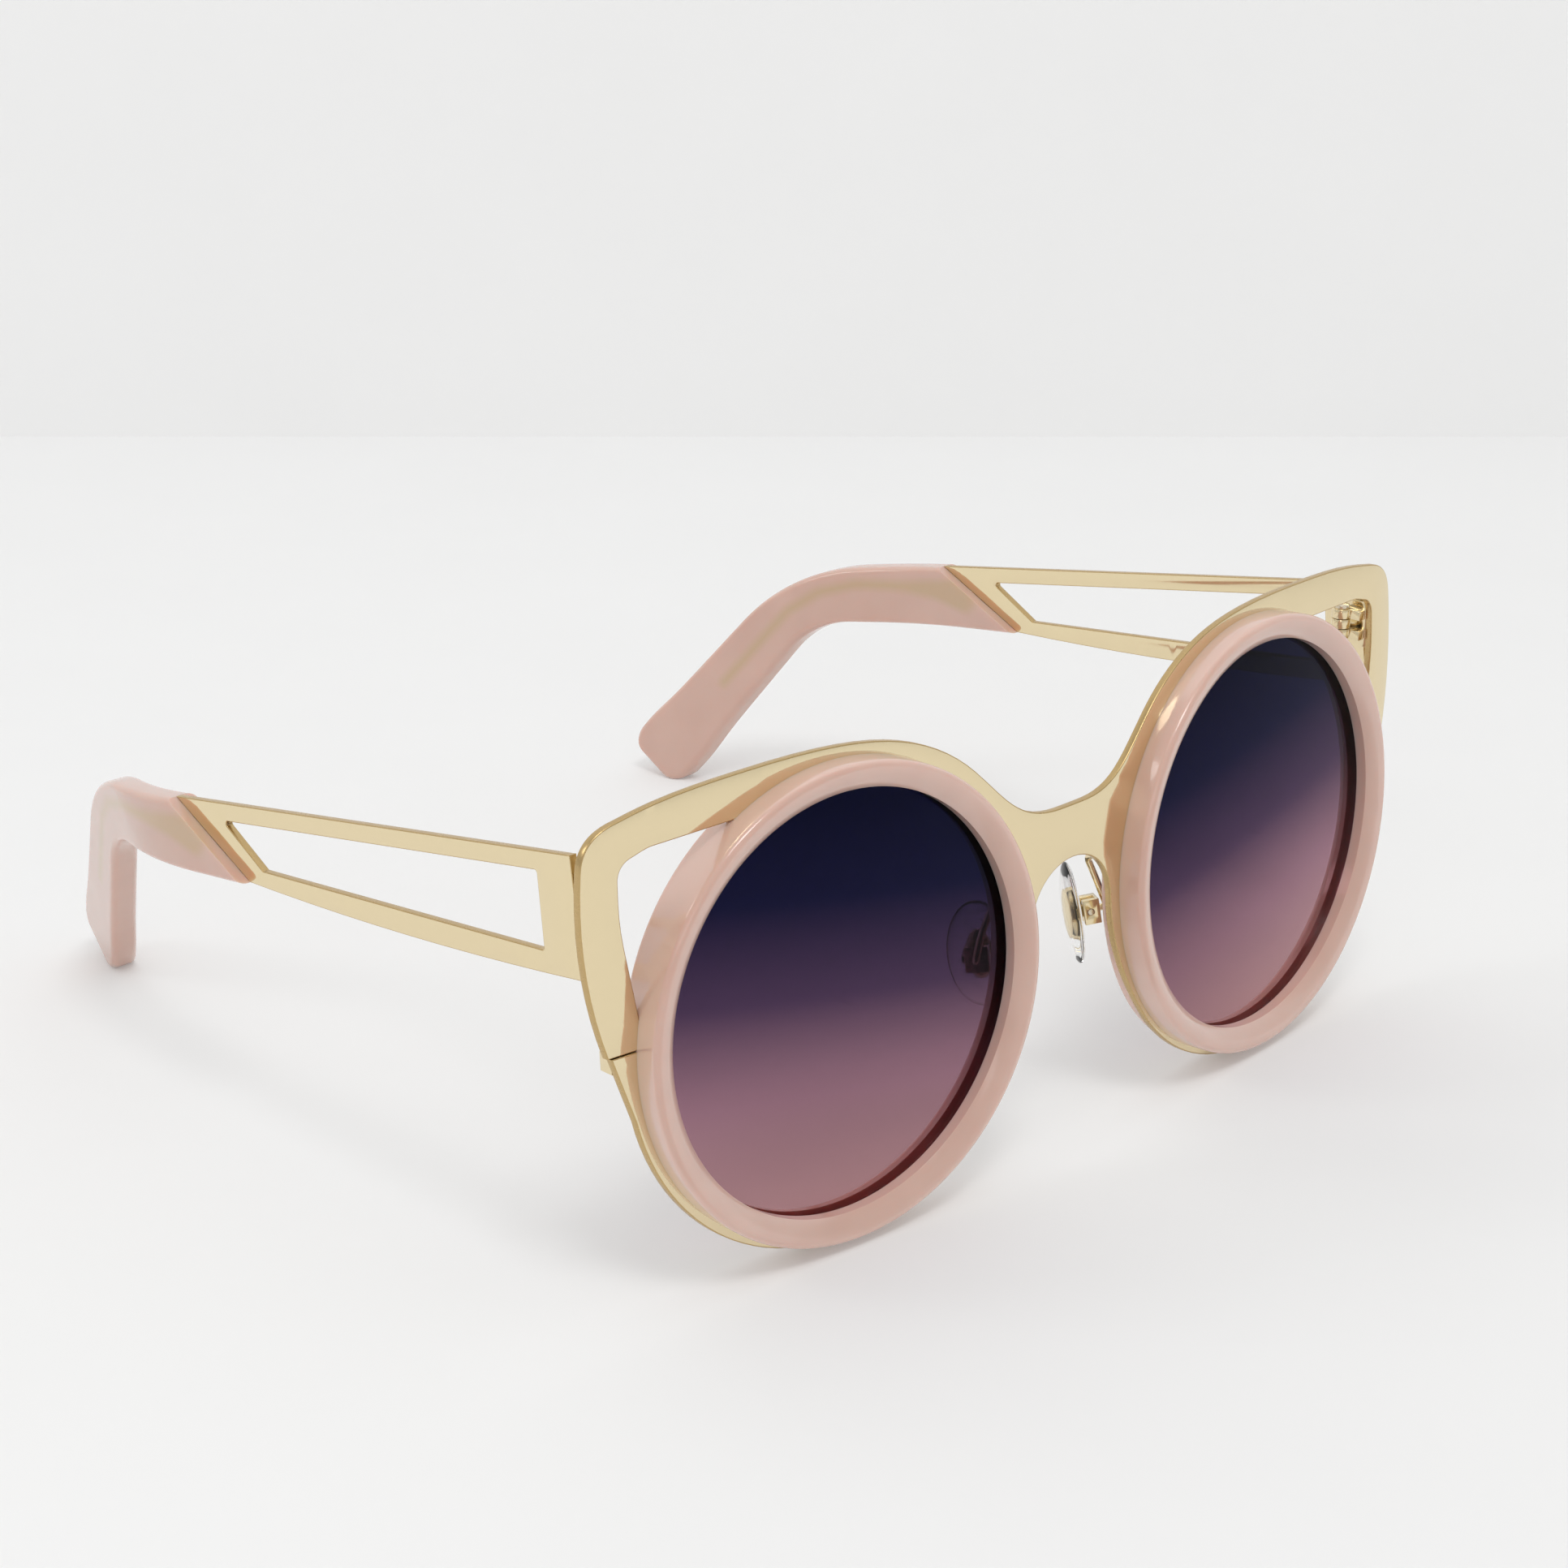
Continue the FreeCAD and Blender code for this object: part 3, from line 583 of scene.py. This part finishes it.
def pad_shape():
    """A soft clear pad, domed towards the nose and flatter behind."""
    points, faces = [], []
    for row in range(PAD_ROWS + 1):
        polar = math.pi * (row + PAD_POLE) / (PAD_ROWS + 2 * PAD_POLE)
        for column in range(PAD_COLUMNS):
            around = 2 * math.pi * column / PAD_COLUMNS
            wide = PAD_WIDE * math.sin(polar) * math.cos(around)
            deep = PAD_DOME * math.sin(polar) * math.sin(around)
            if deep < 0:
                deep = PAD_BACK * math.tanh(deep / PAD_BACK)
            points.append(tuple(PAD @ Vector((wide, deep, PAD_TALL * math.cos(polar)))))
    for row in range(PAD_ROWS):
        here, below = row * PAD_COLUMNS, (row + 1) * PAD_COLUMNS
        for column in range(PAD_COLUMNS):
            other = (column + 1) % PAD_COLUMNS
            faces.append((here + column, here + other, below + other, below + column))
    faces.append(tuple(reversed(range(PAD_COLUMNS))))
    last = PAD_ROWS * PAD_COLUMNS
    faces.append(tuple(range(last, last + PAD_COLUMNS)))
    return points, [tuple(reversed(f)) for f in faces]


# ---- materials ------------------------------------------------------------------------------

def linear(red, green, blue):
    """Screen colour (0 to 255) as a shader colour."""
    def one(level):
        level = level / 255
        if level <= 0.04045:
            return level / 12.92
        return ((level + 0.055) / 1.055) ** 2.4
    return (one(red), one(green), one(blue), 1.0)


def material(name, **settings):
    """A surface with its uniform values on the shader's own sockets."""
    made = bpy.data.materials.new(name)
    made.use_nodes = True
    shader = made.node_tree.nodes["Principled BSDF"]
    for key, setting in settings.items():
        shader.inputs[key.replace("_", " ")].default_value = setting
    return made, made.node_tree, shader


def add(tree, kind, **settings):
    """A node with its inputs or its own settings given by name."""
    made = tree.nodes.new(kind)
    for key, setting in settings.items():
        if key in made.inputs:
            made.inputs[key].default_value = setting
        else:
            setattr(made, key, setting)
    return made


def noise(tree, scale, detail=3.0, stretch=(1, 1, 1)):
    """Noise over object coordinates, stretched as asked."""
    where = add(tree, "ShaderNodeTexCoord")
    mapping = add(tree, "ShaderNodeMapping")
    mapping.inputs["Scale"].default_value = stretch
    tree.links.new(where.outputs["Object"], mapping.inputs["Vector"])
    made = add(tree, "ShaderNodeTexNoise", Scale=scale, Detail=detail)
    tree.links.new(mapping.outputs["Vector"], made.inputs["Vector"])
    return made


def vary(tree, source, target, low, high):
    """Drive a shader value between two limits with a pattern."""
    spread = add(tree, "ShaderNodeMapRange")
    spread.inputs["To Min"].default_value = low
    spread.inputs["To Max"].default_value = high
    tree.links.new(source, spread.inputs["Value"])
    tree.links.new(spread.outputs["Result"], target)


def relief(tree, shader, source, strength, distance):
    """Raise a surface slightly by a pattern."""
    bump = add(tree, "ShaderNodeBump", Strength=strength, Distance=distance)
    tree.links.new(source, bump.inputs["Height"])
    tree.links.new(bump.outputs["Normal"], shader.inputs["Normal"])


def ramp(tree, source, stops):
    """A colour that follows a pattern through the given stops."""
    made = add(tree, "ShaderNodeValToRGB")
    elements = made.color_ramp.elements
    while len(elements) < len(stops):
        elements.new(0.5)
    for element, (place, colour) in zip(elements, stops):
        element.position = place
        element.color = colour
    tree.links.new(source, made.inputs["Fac"])
    return made.outputs["Color"]


def gold(name, rough_low, rough_high, tint=(0.83, 0.70, 0.455, 1.0)):
    """Polished or satin gold plating with a barely uneven surface."""
    made, tree, shader = material(name, Metallic=1.0, Base_Color=tint)
    fine = noise(tree, 900.0)
    vary(tree, fine.outputs["Fac"], shader.inputs["Roughness"], rough_low, rough_high)
    wide = noise(tree, 60.0, 1.0)
    relief(tree, shader, wide.outputs["Fac"], 0.02, 0.0002)
    return made


def acetate(name, shows_wire=False):
    """Glossy clouded pink acetate, with the core wire showing faintly where there is one."""
    made, tree, shader = material(
        name, Roughness=0.14, IOR=1.46, Transmission_Weight=0.08, Subsurface_Weight=0.6,
        Subsurface_Scale=0.0015, Coat_Weight=0.4, Coat_Roughness=0.01)
    shader.inputs["Subsurface Radius"].default_value = (1.0, 0.55, 0.45)
    cloud = noise(tree, 120.0, 2.0)
    stops = [(0.3, linear(214, 179, 165)), (0.7, linear(219, 185, 171))]
    colour = ramp(tree, cloud.outputs["Fac"], stops)
    if shows_wire:
        cover = add(tree, "ShaderNodeAttribute", attribute_name="wire_cover")
        mix = add(tree, "ShaderNodeMixRGB")
        tree.links.new(cover.outputs["Fac"], mix.inputs["Fac"])
        tree.links.new(colour, mix.inputs["Color1"])
        mix.inputs["Color2"].default_value = linear(207, 178, 148)
        colour = mix.outputs["Color"]
    tree.links.new(colour, shader.inputs["Base Color"])
    return made


def tinted_lens(name):
    """A clear lens whose tint runs from dark blue at the top to rose at the foot."""
    made, tree, shader = material(name, Roughness=0.0, IOR=1.13, Transmission_Weight=1.0)
    where = add(tree, "ShaderNodeTexCoord")
    split = add(tree, "ShaderNodeSeparateXYZ")
    tree.links.new(where.outputs["Generated"], split.inputs["Vector"])
    place = add(tree, "ShaderNodeSeparateXYZ")
    tree.links.new(where.outputs["Object"], place.inputs["Vector"])
    outward = add(tree, "ShaderNodeMath", operation="ABSOLUTE")
    tree.links.new(place.outputs["X"], outward.inputs[0])
    lean = add(tree, "ShaderNodeMath", operation="MULTIPLY_ADD")
    tree.links.new(outward.outputs[0], lean.inputs[0])
    lean.inputs[1].default_value = -LENS_TILT
    lean.inputs[2].default_value = LENS_TILT * HALF_SPACING * MM
    level = add(tree, "ShaderNodeMath", operation="ADD")
    tree.links.new(split.outputs["Z"], level.inputs[0])
    tree.links.new(lean.outputs[0], level.inputs[1])
    stops = [(0.05, (0.56, 0.32, 0.34, 1)), (0.29, (0.34, 0.18, 0.235, 1)),
             (0.52, (0.070, 0.038, 0.085, 1)), (0.74, (0.006, 0.006, 0.032, 1)),
             (0.95, (0.001, 0.0015, 0.016, 1))]
    colour = ramp(tree, level.outputs[0], stops)
    tree.links.new(colour, shader.inputs["Base Color"])
    return made


def clear_pad(name):
    """Clear soft plastic."""
    made, tree, shader = material(
        name, Base_Color=(0.97, 0.97, 0.96, 1.0), IOR=1.45, Transmission_Weight=1.0)
    fine = noise(tree, 500.0)
    vary(tree, fine.outputs["Fac"], shader.inputs["Roughness"], 0.02, 0.07)
    return made


def screw_metal(name):
    """Brushed metal, drawn out along the screws' length."""
    made, tree, shader = material(name, Metallic=1.0, Base_Color=(0.72, 0.64, 0.50, 1.0))
    brushed = noise(tree, 1500.0, 2.0, (1, 1, 0.1))
    vary(tree, brushed.outputs["Fac"], shader.inputs["Roughness"], 0.18, 0.32)
    return made


def paper(name, levels, glow):
    """Matt white paper with a faint grain, lightened so that its shadows stay soft."""
    made, tree, shader = material(
        name, Roughness=0.9, Specular_IOR_Level=0.1, Emission_Color=(1, 1, 1, 1),
        Emission_Strength=glow)
    grain = noise(tree, 30.0)
    stops = [(0.3, linear(*[levels[0]] * 3)), (0.7, linear(*[levels[1]] * 3))]
    tree.links.new(ramp(tree, grain.outputs["Fac"], stops), shader.inputs["Base Color"])
    return made


# ---- the object -----------------------------------------------------------------------------

def paint(thing, surface):
    thing.data.materials.clear()
    thing.data.materials.append(surface)


def stand_for(thing, node, body):
    """Let a finished mesh stand for one CAD node."""
    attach(thing, body)
    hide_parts(node)


def dress_cad(frame, surfaces):
    """CAD pieces that are shown as they are: weld, soften their edges and paint them."""
    slots = {s["node"]: s["material_slot"] for s in frame["record"]["subparts"]}
    for name, thing in frame["nodes"].items():
        paint(thing, surfaces[slots[name]])
        for polygon in thing.data.polygons:
            polygon.use_smooth = True
        weld = thing.modifiers.new("weld", "WELD")
        weld.merge_threshold = 0.000002
        bevel = thing.modifiers.new("bevel", "BEVEL")
        bevel.width = BEVELS.get(name.split("_", 1)[-1], PLAIN_BEVEL) * MM
        bevel.segments = 2
        bevel.limit_method = "ANGLE"
        bevel.angle_limit = math.radians(40)
        bevel.harden_normals = True


def add_piece(node, shape, side, body, slot, surfaces):
    """Make, paint and place the mesh that stands for a CAD node."""
    thing = make_mesh(node + "_look", *on_side(*shape, side))
    paint(thing, surfaces[slot])
    stand_for(thing, node, body)
    return thing


def paint_cut_edges(thing, first_edge, surface):
    """Give a sheet's cut edges a darker gold: a painted dark reflection along them."""
    thing.data.materials.append(surface)
    for polygon in thing.data.polygons[first_edge:]:
        polygon.material_index = 1


def store_cover(thing, cover):
    """Keep how much of the wire shows with the tip's own points."""
    layer = thing.data.attributes.new("wire_cover", "FLOAT", "POINT")
    layer.data.foreach_set("value", cover)


def make_object(frame):
    surfaces = {
        "gold_plate": gold("gold_plate", 0.05, 0.11),
        # The cut edges' gold is darker than the plate's: a painted dark reflection along the
        # sheets' edges.
        "gold_edge_painted_dark": gold("gold_edge_painted_dark", 0.22, 0.34, (0.56, 0.40, 0.19, 1.0)),
        "gold_fitting": gold("gold_fitting", 0.12, 0.22),
        "wire_metal": gold("wire_metal", 0.15, 0.25),
        "rim_acetate": acetate("rim_acetate"),
        "tip_acetate": acetate("tip_acetate", shows_wire=True),
        "tinted_lens": tinted_lens("tinted_lens"),
        "clear_pad": clear_pad("clear_pad"),
        "screw_metal": screw_metal("screw_metal"),
    }
    dress_cad(frame, surfaces)
    ring = lathe(ring_outline(), RIM, RING_SEGMENTS)
    lens = lathe(lens_outline(), RIM, LENS_SEGMENTS)
    pad = pad_shape()
    *plate, plate_edge = soft_sheet(frame["nodes"]["front_plate"], FRONT, front_depth,
                                    PLATE_SOFT, PLATE_GRID)
    *bars, bars_edge = soft_sheet(frame["nodes"]["left_temple_plate"], TEMPLE @ turn(90, "Z"),
                                  level_depth, BARS_SOFT, BARS_GRID)
    *tip, cover = tip_shape()
    thing = add_piece("front_plate", plate, "left", "front", "gold_plate", surfaces)
    paint_cut_edges(thing, plate_edge, surfaces["gold_edge_painted_dark"])
    for side in ("left", "right"):
        temple = side + "_temple"
        thing = add_piece(temple + "_plate", bars, side, temple, "gold_plate", surfaces)
        paint_cut_edges(thing, bars_edge, surfaces["gold_edge_painted_dark"])
        add_piece(side + "_rim_ring", ring, side, "front", "rim_acetate", surfaces)
        add_piece(side + "_lens", lens, side, "front", "tinted_lens", surfaces)
        thing = add_piece(temple + "_tip", tip, side, temple, "tip_acetate", surfaces)
        store_cover(thing, cover)
        add_piece(side + "_nose_pad", pad, side, side + "_pad_body", "clear_pad", surfaces)


# ---- stage, light and camera ----------------------------------------------------------------

def see_through_back(surface):
    """Show a sheet from its front only, so that it hides nothing from behind."""
    tree = surface.node_tree
    facing = add(tree, "ShaderNodeNewGeometry")
    clear = add(tree, "ShaderNodeBsdfTransparent")
    mix = add(tree, "ShaderNodeMixShader")
    output = tree.nodes["Material Output"]
    tree.links.new(facing.outputs["Backfacing"], mix.inputs["Fac"])
    tree.links.new(tree.nodes["Principled BSDF"].outputs["BSDF"], mix.inputs[1])
    tree.links.new(clear.outputs["BSDF"], mix.inputs[2])
    tree.links.new(mix.outputs["Shader"], output.inputs["Surface"])


def make_stage():
    """A pale floor that meets a slightly greyer wall, square to the camera."""
    heading = math.radians(CAMERA_AZIMUTH)
    away = Vector((-math.sin(heading), math.cos(heading), 0))
    across = Vector((math.cos(heading), math.sin(heading), 0))
    runs = {"floor": [(-FLOOR_REACH, 0.0), (FLOOR_REACH, 0.0)],
            "wall": [(WALL_DISTANCE, 0.0), (WALL_DISTANCE, FLOOR_REACH)]}
    surfaces = {"floor": paper("floor_paper", (218, 219), 0.17),
                "wall": paper("wall_paper", (240, 241), 0.045)}
    see_through_back(surfaces["wall"])
    for name, outline in runs.items():
        points = []
        for run, rise in outline:
            for side in (-STAGE_HALF, STAGE_HALF):
                place = away * run + across * side + Vector((0, 0, rise))
                points.append(tuple(place / MM))
        sheet = make_mesh(name, points, [(0, 1, 3, 2)])
        paint(sheet, surfaces[name])
        sheet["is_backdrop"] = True


def area_light(name, azimuth, elevation, distance, size, power):
    """A softbox aimed at the object; azimuth is measured as the camera's is."""
    data = bpy.data.lights.new(name, "AREA")
    data.shape = "RECTANGLE"
    data.size, data.size_y = size
    data.energy = power
    lamp = bpy.data.objects.new(name, data)
    heading, rise = math.radians(azimuth), math.radians(elevation)
    direction = Vector((math.sin(heading) * math.cos(rise),
                        -math.cos(heading) * math.cos(rise), math.sin(rise)))
    lamp.location = direction * distance
    lamp.rotation_euler = direction.to_track_quat("Z", "Y").to_euler()
    bpy.context.scene.collection.objects.link(lamp)
    lamp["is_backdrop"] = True


def make_light():
    world = bpy.data.worlds.new("studio")
    bpy.context.scene.world = world
    world.use_nodes = True
    backdrop = world.node_tree.nodes["Background"]
    backdrop.inputs["Color"].default_value = (1.0, 1.0, 0.99, 1)
    backdrop.inputs["Strength"].default_value = 0.60
    area_light("key", -30, 63, 1.2, (0.3, 0.3), 2.75)
    area_light("fill", -126, 34, 1.2, (0.3, 0.3), 1.1)
    area_light("top", -45, 80, 1.3, (1.2, 1.2), 2.35)
    area_light("wall", -45, 25, 1.5, (1.0, 0.3), 0.9)


def make_view():
    """Show colours as they are, without a film curve."""
    bpy.context.scene.view_settings.view_transform = "Standard"


def make_camera():
    data = bpy.data.cameras.new("camera")
    data.sensor_width = 36
    data.lens = CAMERA_LENS
    data.clip_start = 0.01
    camera = bpy.data.objects.new("camera", data)
    camera.location = Vector(CAMERA_PLACE) * MM
    tilt = math.radians(90 - CAMERA_ELEVATION)
    camera.rotation_euler = (tilt, 0, math.radians(CAMERA_AZIMUTH))
    bpy.context.scene.collection.objects.link(camera)
    bpy.context.scene.camera = camera


def write_size(key, sizes):
    low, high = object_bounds()
    sizes[key] = [list(low), list(high)]


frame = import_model()
sizes = {}
write_size("cad", sizes)
make_object(frame)
make_stage()
make_light()
make_camera()
make_view()
write_size("finished", sizes)
